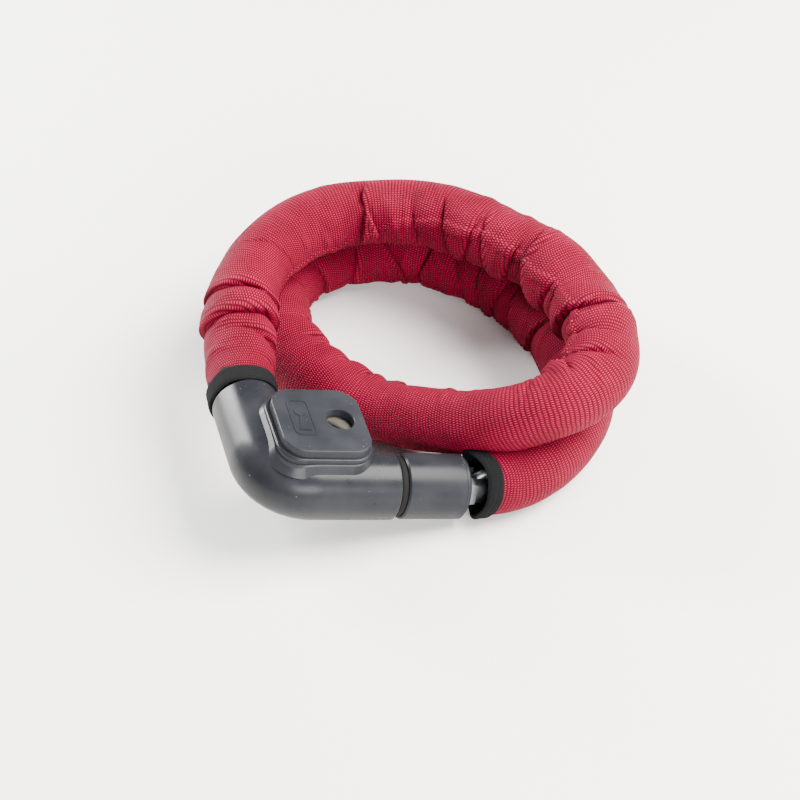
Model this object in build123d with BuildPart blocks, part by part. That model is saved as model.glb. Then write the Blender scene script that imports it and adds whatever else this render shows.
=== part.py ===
"""Sleeved chain lock, closed and lying in two turns on a surface.

A chain in a textile sleeve joins an elbow-shaped lock housing to a plug. The plug's bolt goes into
the housing's front leg, where a latch thrown by the key cylinder drops into the bolt's groove.

The lock's pieces are modelled flat, in the lock's own frame: its origin is where the axes of the two
legs meet, X runs along the front leg to its mouth, Y along the rear leg, and Z out of the cover plate.
LOCK is that frame's place in the part's frame: +Z up, the origin on the surface under the centre of
the whole part. All sizes are in millimetres.
"""

import math
import os

from build123d import *

os.makedirs("parts", exist_ok=True)

# ---------------------------------------------------------------- driving sizes
# Place of the lock: the corner of the elbow, its turn about Z, and how far the front leg drops.
CORNER = (-69.0, -107.5, 42.3)
YAW = 15.8
DROP = 16.0

# Housing: two legs of one tube, a bend between them, and the lock box in the inner corner.
LEG_R = 16.5
BEND_R = 20.0
FRONT_LEG = 60.4
REAR_LEG = 57.7
BOX_CENTRE = (23.5, 19.0)
BOX_SIZE = (48.0, 48.0)
BOX_CORNER_R = 12.0
BOX_BOTTOM = -14.0
BOX_TOP = 20.4
FAIRING_FOOT = 12.5
FAIRING_TOP = 19.0
FAIRING_SLOPE = 34.0
FAIRING_REACH = 2.2     # how far the fairing stands out from the legs
PLATE_CENTRE = (23.85, 19.0)
PLATE_SIZE = (44.3, 45.0)
PLATE_CORNER_R = 11.0
PLATE_THICK = 4.3
KEYHOLE_R = 7.0
EMBLEM_AT = (14.0, 20.5)
EMBLEM_SIZE = (11.0, 25.0)
EMBLEM_LINE = 0.8
EMBLEM_RAISE = 0.3

# Steel core inside the housing's plastic shell.
CORE_R = 14.0
CORE_SIZE = (41.6, 37.0)
CORE_CENTRE = (23.9, 20.5)
CORE_CORNER_R = 5.0
CORE_BOTTOM = -11.0
CORE_TOP = 20.0
CORE_INSET = 1.0
SHELL_GAP = 0.1
SOCKET_R = 12.0
SOCKET_BOTTOM = 26.0
BASE_CENTRE = (33.5, 23.0)
BASE_SIZE = (12.0, 29.0)
BASE_TOP = -6.4
BASE_GAP = 0.1

# Cover screws, put in from below through the shell and the core.
SCREW_CENTRE = (29.8, 24.0)
SCREW_SPACING = (23.6, 24.0)
SCREW_R = 1.48
SCREW_HOLE_R = 1.5
SCREW_TOP = 23.2
SCREW_HEAD_R = 2.75
SCREW_HEAD = 2.4
SCREW_SOCKET_R = 1.25
SCREW_ACCESS_R = 3.2
BOSS_R = 2.2

# Key cylinder, its cam and the latch.
CYLINDER_AT = (33.5, 20.0)
LATCH_X = CYLINDER_AT[0]
CYLINDER_R = 8.5
CYLINDER_BOTTOM = 3.3
CYLINDER_TOP = 20.3
CYLINDER_FLANGE_R = 9.1
ROTOR_R = 6.2
ROTOR_BORE_R = 6.28
ROTOR_TOP = 20.15
DISC_R = 4.7
DISC_THICK = 1.5
DISC_PITCH = 1.85
DISC_TURNS = (0, 12, -8, 18, 5, -14, 9)
KEYWAY_R = 4.0
FACE_KEYWAY_R = 5.7
FACE_BEVEL = 0.6
KEYWAY_ANGLE = -42.0
FACE_THICK = 2.0
ROTOR_CAVITY_R = 4.8
CAVITY_BOTTOM = 4.5
TAIL_R = 2.5
SIDEBAR_ANGLE = 80.0
SIDEBAR_BOTTOM = 5.5
SIDEBAR_LENGTH = 11.4
SIDEBAR_WIDTH = 1.5
LATCH_THROW = 2.6
CAM_OFFSET = LATCH_THROW / math.sqrt(2)
CAM_R = 5.5
CAM_TOP = 3.1
CAM_THICK = 2.7
CAM_PIN_R = 1.5
CAM_WEB = 0.5
CAM_CROSS_PIN_R = 0.75
CAM_REST_ANGLE = 45.0
CAM_SLOT_LENGTH = 5.4
LATCH_BOTTOM = -6.0
LATCH_TOP = -0.3
LATCH_FRONT = 12.0
LATCH_BACK = 29.0
LATCH_WIDTH = 10.0
TONGUE_TIP = 7.0
TONGUE_WIDTH = 4.6
TONGUE_DEPTH = 3.6
TONGUE_TOP = 3.9
CHANNEL_FRONT = 8.0
CHANNEL_BACK = 36.6
WINDOW_FRONT = 4.0
WINDOW_BACK = 11.2
SPRING_R = 1.7
SPRING_WIRE_R = 0.28
SPRING_TURNS = 5
SPRING_LEVEL = -3.1

# Bolt and plug.
BOLT_R = 6.5
BOLT_BORE_R = 6.58
BOLT_TIP = 24.0
BOLT_END = 84.0
GROOVE_R = 4.0
GROOVE_WIDTH = 5.0
BOLT_PIN_AT = 76.0
BOLT_PIN_R = 2.0
BOLT_PIN_LENGTH = 24.0
PIN_FIT = 0.02
SEAL_START = 60.7
SEAL_R = 15.0
FERRULE_R = 16.0
FERRULE_START = 64.4
FERRULE_END = 96.9
FERRULE_WALL = 3.0
FERRULE_LIP = 2.0
FERRULE_LINE = 93.9     # a fine step in the surface
NECK_START = 94.7
NECK_FLATS = 18.0
NECK_ROLL = 15.0
NECK_END = 102.5
FORK_R = 8.0
FORK_END = 112.0
FORK_SLOT = 99.4
PLUG_PIN_AT = 108.4
PLUG_PIN_R = 2.4
PLUG_LINK_TILT = 27.0
LOCK_PIN_AT = 46.0
LOCK_PIN_R = 3.0

# Chain: round wire, the links by turns lying flat and standing.
WIRE_R = 2.65
LINK_WIDTH = 15.5     # across the wire's centreline
LINK_LENGTH = 25.4    # along it
LINK_INSIDE = LINK_LENGTH - 2 * WIRE_R
LINK_PITCH = 19.0

# Sleeve and its end bindings.
SLEEVE_R = 16.5
SLEEVE_WALL = 1.5
BINDING_LENGTH = 8.0

# The sleeve's centreline, from the housing's rear leg to the plug: one high turn, a crossing over the
# front, and one low turn on the surface.
ROUTE = [
    (-84.8, -51.7, 42.3), (-90, -33.4, 42.3), (-93.5, -7.5, 47), (-92.5, 20.5, 51),
    (-82.5, 47.5, 52), (-63.5, 71.5, 52), (-37.5, 86.5, 52), (-8.5, 91.5, 52), (21.5, 85.5, 52),
    (47.5, 68.5, 53), (70.5, 45.5, 53), (86.5, 18.5, 53), (93.5, -10.5, 54), (91.5, -34.5, 55),
    (77.5, -52.5, 55), (56.5, -60.5, 51.5), (34.5, -56.5, 40), (13.5, -48.5, 28), (-8.5, -39.5, 19),
    (-30.5, -26.5, 16.5), (-50.5, -7.5, 16.5), (-65.5, 15.5, 16.5), (-72.5, 41.5, 16.5),
    (-69.5, 67.5, 16.5), (-54.5, 89.5, 16.5), (-30.5, 102.5, 16.5), (-4.5, 103.5, 16.5),
    (21.5, 93.5, 16.5), (44.5, 76.5, 16.5), (63.5, 53.5, 16.5), (76.5, 26.5, 16.5),
    (83.5, -1.5, 16.5), (82.5, -29.5, 16.5), (73.5, -54.5, 16.5), (58.5, -72.5, 16.5),
    (42.5, -80, 16.5), (26, -81, 16.5),
]
BLEND_RUN = 5    # the sleeve that follows the housing ends half-way along this run
LOW_RUN = 18     # the low turn starts half-way along this run

yaw, drop = math.radians(YAW), math.radians(DROP)
LOCK = Plane(
    origin=CORNER,
    x_dir=(math.cos(yaw) * math.cos(drop), math.sin(yaw) * math.cos(drop), -math.sin(drop)),
    z_dir=(math.cos(yaw) * math.sin(drop), math.sin(yaw) * math.sin(drop), math.cos(drop)),
)


def save_lock_piece(piece, name):
    """Write a piece that is modelled in the lock's frame, moved to the lock's place."""
    placed = piece.part.moved(LOCK.location)
    placed.label = name
    export_step(placed, f"parts/{name}.step")


def along_x(x, roll=0.0):
    """The plane across the front leg at x, turned about the leg by roll degrees."""
    tilt = math.radians(roll)
    return Plane(origin=(x, 0, 0), x_dir=(0, math.cos(tilt), math.sin(tilt)), z_dir=(1, 0, 0))


# ---------------------------------------------------------------- housing shell
flare = (FAIRING_TOP - FAIRING_FOOT) * math.tan(math.radians(FAIRING_SLOPE))
with BuildPart() as fairing:
    # Sloping foot of the box, kept close to the legs.
    with BuildSketch(Plane.XY.offset(FAIRING_FOOT)):
        with Locations(BOX_CENTRE):
            RectangleRounded(BOX_SIZE[0] + 2 * flare, BOX_SIZE[1] + 2 * flare, BOX_CORNER_R + flare)
    extrude(amount=FAIRING_TOP - FAIRING_FOOT, taper=FAIRING_SLOPE)
    with BuildLine() as fairing_axis:
        FilletPolyline((0, REAR_LEG), (0, 0), (FRONT_LEG, 0), radius=BEND_R)
    with BuildSketch(Plane(origin=(0, REAR_LEG, 0), z_dir=(0, -1, 0))):
        Circle(LEG_R + FAIRING_REACH)
    sweep(path=fairing_axis.wires()[0], mode=Mode.INTERSECT)

with BuildPart() as housing_shell:
    with BuildLine() as leg_axis:
        FilletPolyline((0, REAR_LEG), (0, 0), (FRONT_LEG, 0), radius=BEND_R)
    with BuildSketch(Plane(origin=(0, REAR_LEG, 0), z_dir=(0, -1, 0))):
        Circle(LEG_R)
    sweep(path=leg_axis.wires()[0])
    with BuildSketch(Plane.XY.offset(BOX_BOTTOM)):
        with Locations(BOX_CENTRE):
            RectangleRounded(*BOX_SIZE, BOX_CORNER_R)
    extrude(amount=BOX_TOP - BOX_BOTTOM)
    fillet(housing_shell.faces().sort_by(Axis.Z)[-1].edges(), radius=1.2)
    fillet(housing_shell.faces().sort_by(Axis.Z)[0].edges(), radius=2.0)
    mouth = housing_shell.faces().filter_by(Plane.YZ).sort_by(Axis.X)[-1]
    fillet(mouth.edges(), radius=0.8)
    rear_end = housing_shell.faces().filter_by(Plane.XZ).sort_by(Axis.Y)[-1]
    fillet(rear_end.edges(), radius=0.8)
    add(fairing.part)
    with BuildSketch(Plane(origin=(0, REAR_LEG, 0), z_dir=(0, -1, 0))):
        Circle(CORE_R + SHELL_GAP)
    sweep(path=leg_axis.wires()[0], mode=Mode.SUBTRACT)
    with BuildSketch(Plane.XY.offset(CORE_BOTTOM - SHELL_GAP)):
        with Locations(CORE_CENTRE):
            RectangleRounded(CORE_SIZE[0] + 2 * SHELL_GAP, CORE_SIZE[1] + 2 * SHELL_GAP, CORE_CORNER_R)
    extrude(amount=BOX_TOP - CORE_BOTTOM + 1, mode=Mode.SUBTRACT)
    with BuildSketch(Plane.XY.offset(BOX_BOTTOM)):
        with Locations(SCREW_CENTRE):
            with GridLocations(*SCREW_SPACING, 2, 2):
                Circle(SCREW_ACCESS_R)
    extrude(amount=CORE_BOTTOM - BOX_BOTTOM, mode=Mode.SUBTRACT)
save_lock_piece(housing_shell, "housing_shell")


# ---------------------------------------------------------------- steel core
with BuildPart() as core_body:
    with BuildLine() as core_axis:
        FilletPolyline((0, REAR_LEG - CORE_INSET), (0, 0), (FRONT_LEG - CORE_INSET, 0), radius=BEND_R)
    with BuildSketch(Plane(origin=(0, REAR_LEG - CORE_INSET, 0), z_dir=(0, -1, 0))):
        Circle(CORE_R)
    sweep(path=core_axis.wires()[0])
    with BuildSketch(Plane.XY.offset(CORE_BOTTOM)):
        with Locations(CORE_CENTRE):
            RectangleRounded(*CORE_SIZE, CORE_CORNER_R)
    extrude(amount=CORE_TOP - CORE_BOTTOM)
    # Bolt bore with a lead-in, and the chain's socket.
    with BuildSketch(along_x(FRONT_LEG)):
        Circle(BOLT_BORE_R)
    extrude(amount=BOLT_TIP - 1.0 - FRONT_LEG, mode=Mode.SUBTRACT)
    bore_mouth = core_body.edges().filter_by(GeomType.CIRCLE).sort_by(Axis.X)[-2:]
    chamfer(bore_mouth.sort_by(SortBy.RADIUS)[0], length=1.2)
    with BuildSketch(Plane(origin=(0, REAR_LEG, 0), z_dir=(0, -1, 0))):
        Circle(SOCKET_R)
    extrude(amount=REAR_LEG - SOCKET_BOTTOM, mode=Mode.SUBTRACT)
    # Cylinder pocket and cam chamber.
    with BuildSketch(Plane.XY.offset(CORE_TOP)):
        with Locations(CYLINDER_AT):
            Circle(CYLINDER_R + SHELL_GAP)
    extrude(amount=CYLINDER_BOTTOM - CORE_TOP, mode=Mode.SUBTRACT)
    with BuildSketch(Plane.XY.offset(CYLINDER_BOTTOM)):
        with Locations(CYLINDER_AT):
            Circle(CAM_R + 0.5)
    extrude(amount=-CYLINDER_BOTTOM - 0.2, mode=Mode.SUBTRACT)
    # Latch channel, its window into the bolt bore, and the pocket of the base plate.
    channel_bottom = BASE_TOP - 0.1
    with BuildSketch(Plane.XY.offset(channel_bottom)):
        with Locations((LATCH_X, CHANNEL_FRONT)):
            Rectangle(LATCH_WIDTH + 0.2, CHANNEL_BACK - CHANNEL_FRONT, align=(Align.CENTER, Align.MIN))
    extrude(amount=LATCH_TOP + 0.2 - channel_bottom, mode=Mode.SUBTRACT)
    with BuildSketch(Plane.XY.offset(channel_bottom)):
        with Locations((LATCH_X, WINDOW_FRONT)):
            Rectangle(TONGUE_WIDTH + 0.2, WINDOW_BACK - WINDOW_FRONT, align=(Align.CENTER, Align.MIN))
    extrude(amount=TONGUE_TOP + 0.3 - channel_bottom, mode=Mode.SUBTRACT)
    with BuildSketch(Plane.XY.offset(CORE_BOTTOM)):
        with Locations(BASE_CENTRE):
            RectangleRounded(*BASE_SIZE, 2.0)
    extrude(amount=BASE_TOP - CORE_BOTTOM, mode=Mode.SUBTRACT)
    # Screw holes and the chain's pin hole.
    with BuildSketch(Plane.XY.offset(CORE_BOTTOM)):
        with Locations(SCREW_CENTRE):
            with GridLocations(*SCREW_SPACING, 2, 2):
                Circle(SCREW_R + 0.25)
    extrude(amount=CORE_TOP - CORE_BOTTOM, mode=Mode.SUBTRACT)
    with BuildSketch(Plane(origin=(0, LOCK_PIN_AT, 0), x_dir=(0, 1, 0), z_dir=(1, 0, 0))):
        Circle(LOCK_PIN_R)
    extrude(amount=LEG_R, both=True, mode=Mode.SUBTRACT)
save_lock_piece(core_body, "core_body")

with BuildPart() as core_base_plate:
    with BuildSketch(Plane.XY.offset(CORE_BOTTOM)):
        with Locations(BASE_CENTRE):
            RectangleRounded(BASE_SIZE[0] - 2 * BASE_GAP, BASE_SIZE[1] - 2 * BASE_GAP, 1.9)
    extrude(amount=BASE_TOP - 2 * BASE_GAP - CORE_BOTTOM)
save_lock_piece(core_base_plate, "core_base_plate")

with BuildPart() as anchor_pin_lock:
    with BuildSketch(Plane(origin=(0, LOCK_PIN_AT, 0), x_dir=(0, 1, 0), z_dir=(1, 0, 0))):
        Circle(LOCK_PIN_R - PIN_FIT)
    extrude(amount=CORE_R - 0.4, both=True)
    chamfer(anchor_pin_lock.edges().filter_by(GeomType.CIRCLE), length=0.5)
save_lock_piece(anchor_pin_lock, "anchor_pin_lock")

# ---------------------------------------------------------------- cover plate and its screws
with BuildPart() as cover_plate:
    with BuildSketch(Plane.XY.offset(BOX_TOP)):
        with Locations(PLATE_CENTRE):
            RectangleRounded(*PLATE_SIZE, PLATE_CORNER_R)
    extrude(amount=PLATE_THICK)
    plate_top = BOX_TOP + PLATE_THICK
    fillet(cover_plate.faces().sort_by(Axis.Z)[-1].edges(), radius=0.9)
    with BuildSketch(Plane.XY.offset(plate_top)):
        with Locations(CYLINDER_AT):
            Circle(KEYHOLE_R)
    extrude(amount=-PLATE_THICK, mode=Mode.SUBTRACT)
    keyhole_rim = cover_plate.edges().filter_by(GeomType.CIRCLE).filter_by(
        lambda edge: abs(edge.radius - KEYHOLE_R) < 0.01)
    chamfer(keyhole_rim.sort_by(Axis.Z)[-1], length=0.4)
    # Bosses that stand on the core, each with a blind screw hole.
    with BuildSketch(Plane.XY.offset(BOX_TOP)):
        with Locations(SCREW_CENTRE):
            with GridLocations(*SCREW_SPACING, 2, 2):
                Circle(BOSS_R)
    extrude(amount=CORE_TOP + 0.05 - BOX_TOP)
    with BuildSketch(Plane.XY.offset(CORE_TOP)):
        with Locations(SCREW_CENTRE):
            with GridLocations(*SCREW_SPACING, 2, 2):
                Circle(SCREW_HOLE_R)
    extrude(amount=SCREW_TOP + 0.3 - CORE_TOP, mode=Mode.SUBTRACT)
    # Raised emblem: a rounded frame around a plain keyhole shape.
    with BuildSketch(Plane.XY.offset(plate_top)):
        with Locations(EMBLEM_AT):
            RectangleRounded(*EMBLEM_SIZE, 3.2)
            RectangleRounded(
                EMBLEM_SIZE[0] - 2 * EMBLEM_LINE, EMBLEM_SIZE[1] - 2 * EMBLEM_LINE, 3.2 - EMBLEM_LINE,
                mode=Mode.SUBTRACT)
        with Locations((EMBLEM_AT[0], EMBLEM_AT[1] + 4.0)):
            Circle(2.9)
        with Locations((EMBLEM_AT[0], EMBLEM_AT[1] - 3.4)):
            Trapezoid(5.6, 11.0, 78)
    extrude(amount=EMBLEM_RAISE)
save_lock_piece(cover_plate, "cover_plate")

with BuildPart() as cover_screws:
    with BuildSketch(Plane.XY.offset(CORE_BOTTOM)):
        with Locations(SCREW_CENTRE):
            with GridLocations(*SCREW_SPACING, 2, 2):
                Circle(SCREW_HEAD_R)
    extrude(amount=-SCREW_HEAD)
    with BuildSketch(Plane.XY.offset(CORE_BOTTOM)):
        with Locations(SCREW_CENTRE):
            with GridLocations(*SCREW_SPACING, 2, 2):
                Circle(SCREW_R)
    extrude(amount=SCREW_TOP - CORE_BOTTOM)
    with BuildSketch(Plane.XY.offset(CORE_BOTTOM - SCREW_HEAD)):
        with Locations(SCREW_CENTRE):
            with GridLocations(*SCREW_SPACING, 2, 2):
                RegularPolygon(SCREW_SOCKET_R, 6, major_radius=False)
    extrude(amount=1.4, mode=Mode.SUBTRACT)
save_lock_piece(cover_screws, "cover_screws")

# ---------------------------------------------------------------- key cylinder
with BuildPart() as cylinder_body:
    with BuildSketch(Plane.XY.offset(CYLINDER_BOTTOM)):
        with Locations(CYLINDER_AT):
            Circle(CYLINDER_R)
    extrude(amount=CORE_TOP - CYLINDER_BOTTOM)
    with BuildSketch(Plane.XY.offset(CORE_TOP)):
        with Locations(CYLINDER_AT):
            Circle(CYLINDER_FLANGE_R)
    extrude(amount=CYLINDER_TOP - CORE_TOP)
    with BuildSketch(Plane.XY.offset(CYLINDER_BOTTOM)):
        with Locations(CYLINDER_AT):
            Circle(ROTOR_BORE_R)
    extrude(amount=CYLINDER_TOP - CYLINDER_BOTTOM, mode=Mode.SUBTRACT)
save_lock_piece(cylinder_body, "cylinder_body")


def keyway(plane, radius, turned=0.0):
    """The half-round key opening at the cylinder's axis, drawn on a plane; its flat crosses the axis."""
    with BuildSketch(plane) as opening:
        with Locations(Location((*CYLINDER_AT, 0), (0, 0, KEYWAY_ANGLE + turned))):
            Circle(radius)
            Rectangle(2 * radius, radius, align=(Align.CENTER, Align.MIN), mode=Mode.SUBTRACT)
    return opening.sketch


with BuildPart() as cylinder_rotor:
    with BuildSketch(Plane.XY.offset(CYLINDER_BOTTOM + 0.1)):
        with Locations(CYLINDER_AT):
            Circle(ROTOR_R)
    extrude(amount=ROTOR_TOP - CYLINDER_BOTTOM - 0.1)
    with BuildSketch(Plane.XY.offset(CYLINDER_BOTTOM + 0.1)):
        with Locations(CYLINDER_AT):
            Circle(TAIL_R)
    extrude(amount=CAM_TOP - CAM_THICK - CYLINDER_BOTTOM - 0.1)
    with BuildSketch(Plane.XY.offset(CAVITY_BOTTOM)):
        with Locations(CYLINDER_AT):
            Circle(ROTOR_CAVITY_R)
    extrude(amount=ROTOR_TOP - FACE_THICK - CAVITY_BOTTOM, mode=Mode.SUBTRACT)
    opening = keyway(Plane.XY.offset(ROTOR_TOP - FACE_THICK), FACE_KEYWAY_R)
    add(extrude(opening, amount=FACE_THICK, mode=Mode.PRIVATE), mode=Mode.SUBTRACT)
    face_edges = cylinder_rotor.faces().sort_by(Axis.Z)[-1].edges().filter_by(GeomType.LINE)
    chamfer(face_edges.sort_by(SortBy.LENGTH)[-1], length=FACE_BEVEL)
    with BuildSketch(Plane.XY.offset(SIDEBAR_BOTTOM - 0.1)):
        with Locations(Location((*CYLINDER_AT, 0), (0, 0, SIDEBAR_ANGLE))):
            with Locations((ROTOR_R, 0)):
                Rectangle(2 * (ROTOR_R - ROTOR_CAVITY_R) + 0.5, SIDEBAR_WIDTH + 0.2)
    extrude(amount=SIDEBAR_LENGTH + 0.2, mode=Mode.SUBTRACT)
    with Locations((*CYLINDER_AT, CAM_TOP - CAM_THICK / 2)):
        Cylinder(CAM_CROSS_PIN_R + PIN_FIT, 3 * TAIL_R, rotation=(0, 90, 0), mode=Mode.SUBTRACT)
save_lock_piece(cylinder_rotor, "cylinder_rotor")

with BuildPart() as disc_detainers:
    for number, turned in enumerate(DISC_TURNS):
        plane = Plane.XY.offset(CYLINDER_BOTTOM + 1.5 + number * DISC_PITCH)
        with BuildSketch(plane):
            with Locations(CYLINDER_AT):
                Circle(DISC_R)
            add(keyway(plane, KEYWAY_R, turned).faces(), mode=Mode.SUBTRACT)
        extrude(amount=DISC_THICK)
save_lock_piece(disc_detainers, "disc_detainers")

with BuildPart() as sidebar:
    with BuildSketch(Plane.XY.offset(SIDEBAR_BOTTOM)):
        with Locations(Location((*CYLINDER_AT, 0), (0, 0, SIDEBAR_ANGLE))):
            with Locations(((ROTOR_R + ROTOR_CAVITY_R) / 2, 0)):
                Rectangle(ROTOR_R - ROTOR_CAVITY_R - 0.15, SIDEBAR_WIDTH)
    extrude(amount=SIDEBAR_LENGTH)
save_lock_piece(sidebar, "sidebar")

# ---------------------------------------------------------------- cam and latch
pin_angle = math.radians(CAM_REST_ANGLE)
pin_at = (
    CYLINDER_AT[0] + CAM_OFFSET * math.cos(pin_angle),
    CYLINDER_AT[1] + CAM_OFFSET * math.sin(pin_angle),
)
with BuildPart() as cylinder_cam:
    with BuildSketch(Plane.XY.offset(CAM_TOP - CAM_THICK)):
        with Locations(CYLINDER_AT):
            Circle(CAM_R)
            Circle(TAIL_R + PIN_FIT, mode=Mode.SUBTRACT)
    extrude(amount=CAM_THICK)
    with Locations((*CYLINDER_AT, CAM_TOP - CAM_THICK / 2)):
        Cylinder(CAM_CROSS_PIN_R + PIN_FIT, 3 * CAM_R, rotation=(0, 90, 0), mode=Mode.SUBTRACT)
    # A web under the tail carries the eccentric pin.
    with BuildSketch(Plane.XY.offset(CAM_TOP - CAM_THICK)):
        with Locations(CYLINDER_AT):
            Circle(CAM_R)
    extrude(amount=-CAM_WEB)
    with BuildSketch(Plane.XY.offset(CAM_TOP - CAM_THICK - CAM_WEB)):
        with Locations(pin_at):
            Circle(CAM_PIN_R)
    extrude(amount=LATCH_BOTTOM + 0.2 - (CAM_TOP - CAM_THICK - CAM_WEB))
save_lock_piece(cylinder_cam, "cylinder_cam")

with BuildPart() as cam_cross_pin:
    with Locations((*CYLINDER_AT, CAM_TOP - CAM_THICK / 2)):
        Cylinder(CAM_CROSS_PIN_R, 2 * CAM_R - 0.6, rotation=(0, 90, 0))
save_lock_piece(cam_cross_pin, "cam_cross_pin")

with BuildPart() as latch_slider:
    with BuildSketch(Plane.XY.offset(LATCH_BOTTOM)):
        with Locations((LATCH_X, LATCH_FRONT)):
            Rectangle(LATCH_WIDTH, LATCH_BACK - LATCH_FRONT, align=(Align.CENTER, Align.MIN))
        with Locations((LATCH_X, TONGUE_TIP)):
            Rectangle(TONGUE_WIDTH, LATCH_FRONT - TONGUE_TIP + 0.5, align=(Align.CENTER, Align.MIN))
    extrude(amount=LATCH_TOP - LATCH_BOTTOM)
    with BuildSketch(Plane.XY.offset(LATCH_TOP)):
        with Locations((LATCH_X, TONGUE_TIP)):
            Rectangle(TONGUE_WIDTH, TONGUE_DEPTH, align=(Align.CENTER, Align.MIN))
    extrude(amount=TONGUE_TOP - LATCH_TOP)
    with BuildSketch(Plane.XY.offset(LATCH_TOP)):
        # The pin swings from CAM_REST_ANGLE on one side of the X axis to as far on the other, in this slot.
        with Locations((LATCH_X + CAM_OFFSET * (1 + math.cos(pin_angle)) / 2, pin_at[1])):
            SlotOverall(CAM_SLOT_LENGTH, 2 * CAM_PIN_R + 0.3)
    extrude(amount=LATCH_BOTTOM - LATCH_TOP, mode=Mode.SUBTRACT)
    back = latch_slider.faces().sort_by(Axis.Y)[-1]
    chamfer(back.edges().filter_by(Axis.Z), length=0.8)
save_lock_piece(latch_slider, "latch_slider")

spring_length = CHANNEL_BACK - LATCH_BACK - 0.9
with BuildPart() as latch_spring:
    with BuildLine():
        coil = Helix(
            spring_length / SPRING_TURNS, spring_length, SPRING_R,
            center=(LATCH_X, LATCH_BACK + 0.35, SPRING_LEVEL), direction=(0, 1, 0))
    with BuildSketch(Plane(origin=coil @ 0, z_dir=coil % 0)):
        Circle(SPRING_WIRE_R)
    sweep(path=coil, is_frenet=True)
save_lock_piece(latch_spring, "latch_spring")

# ---------------------------------------------------------------- bolt, seal and plug
with BuildPart() as locking_bolt:
    with BuildSketch(Plane.XZ):
        with BuildLine():
            Polyline(
                (BOLT_TIP, 0), (BOLT_TIP, 4.0), (BOLT_TIP + 4, BOLT_R),
                (LATCH_X - GROOVE_WIDTH / 2, BOLT_R), (LATCH_X - GROOVE_WIDTH / 2, GROOVE_R),
                (LATCH_X + GROOVE_WIDTH / 2, GROOVE_R), (LATCH_X + GROOVE_WIDTH / 2, BOLT_R),
                (BOLT_END - 1, BOLT_R), (BOLT_END, BOLT_R - 1), (BOLT_END, 0), close=True)
        make_face()
    revolve(axis=Axis.X)
    with Locations((BOLT_PIN_AT, 0, 0)):
        Cylinder(BOLT_PIN_R + PIN_FIT, 3 * BOLT_R, mode=Mode.SUBTRACT)
save_lock_piece(locking_bolt, "locking_bolt")

with BuildPart() as bolt_pin:
    with Locations((BOLT_PIN_AT, 0, 0)):
        Cylinder(BOLT_PIN_R, BOLT_PIN_LENGTH)
    chamfer(bolt_pin.edges().filter_by(GeomType.CIRCLE), length=0.4)
save_lock_piece(bolt_pin, "bolt_pin")

with BuildPart() as seal_ring:
    with BuildSketch(along_x(SEAL_START)):
        Circle(SEAL_R)
        Circle(BOLT_R + PIN_FIT, mode=Mode.SUBTRACT)
    extrude(amount=FERRULE_START - SEAL_START)
    outer = seal_ring.edges().filter_by(GeomType.CIRCLE).sort_by(SortBy.RADIUS)[-2:]
    fillet(outer, radius=1.2)
save_lock_piece(seal_ring, "seal_ring")

with BuildPart() as ferrule_shell:
    with BuildSketch(Plane.XZ):
        with BuildLine():
            inner_r = FERRULE_R - FERRULE_WALL
            lip_end = FERRULE_START + FERRULE_LIP
            Polyline(
                (FERRULE_START, BOLT_R + PIN_FIT), (FERRULE_START, FERRULE_R - 0.8),
                (FERRULE_START + 0.8, FERRULE_R), (FERRULE_LINE, FERRULE_R),
                (FERRULE_LINE + 0.15, FERRULE_R - 0.2), (FERRULE_LINE + 0.5, FERRULE_R - 0.2),
                (FERRULE_LINE + 0.65, FERRULE_R - 0.05), (FERRULE_END - 1.2, FERRULE_R - 0.05),
                (FERRULE_END, FERRULE_R - 1.2), (FERRULE_END, inner_r),
                (lip_end, inner_r), (lip_end, BOLT_R + PIN_FIT), close=True)
        make_face()
    revolve(axis=Axis.X)
save_lock_piece(ferrule_shell, "ferrule_shell")

with BuildPart() as ferrule_core:
    core_start = FERRULE_START + FERRULE_LIP + 0.1
    with BuildSketch(along_x(core_start)):
        Circle(FERRULE_R - FERRULE_WALL - 0.05)
    extrude(amount=NECK_START - core_start)
    with BuildSketch(along_x(NECK_START, roll=NECK_ROLL)):
        RegularPolygon(NECK_FLATS / 2, 6, major_radius=False)
    extrude(amount=NECK_END - NECK_START)
    with BuildSketch(along_x(NECK_END)):
        Circle(FORK_R)
    extrude(amount=FORK_END - NECK_END)
    chamfer(ferrule_core.faces().sort_by(Axis.X)[-1].edges(), length=0.8)
    with BuildSketch(along_x(FERRULE_START)):
        Circle(BOLT_R + PIN_FIT)
    extrude(amount=BOLT_END + 0.1 - FERRULE_START, mode=Mode.SUBTRACT)
    with Locations((BOLT_PIN_AT, 0, 0)):
        Cylinder(BOLT_PIN_R + PIN_FIT, 4 * BOLT_R, mode=Mode.SUBTRACT)
    # Fork for the chain's last link, and its pin.
    with BuildSketch(along_x(FORK_END + 1, roll=90)):
        Rectangle(4 * FORK_R, 2 * WIRE_R + 0.6)
    extrude(amount=FORK_SLOT - FORK_END - 1, mode=Mode.SUBTRACT)
    with BuildSketch(Plane(origin=(PLUG_PIN_AT, 0, 0), x_dir=(1, 0, 0), z_dir=(0, 1, 0))):
        Circle(PLUG_PIN_R + PIN_FIT)
    extrude(amount=NECK_FLATS, both=True, mode=Mode.SUBTRACT)
save_lock_piece(ferrule_core, "ferrule_core")

with BuildPart() as anchor_pin_plug:
    with BuildSketch(Plane(origin=(PLUG_PIN_AT, 0, 0), x_dir=(1, 0, 0), z_dir=(0, 1, 0))):
        Circle(PLUG_PIN_R)
    extrude(amount=FORK_R - 0.3, both=True)
save_lock_piece(anchor_pin_plug, "anchor_pin_plug")


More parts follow.
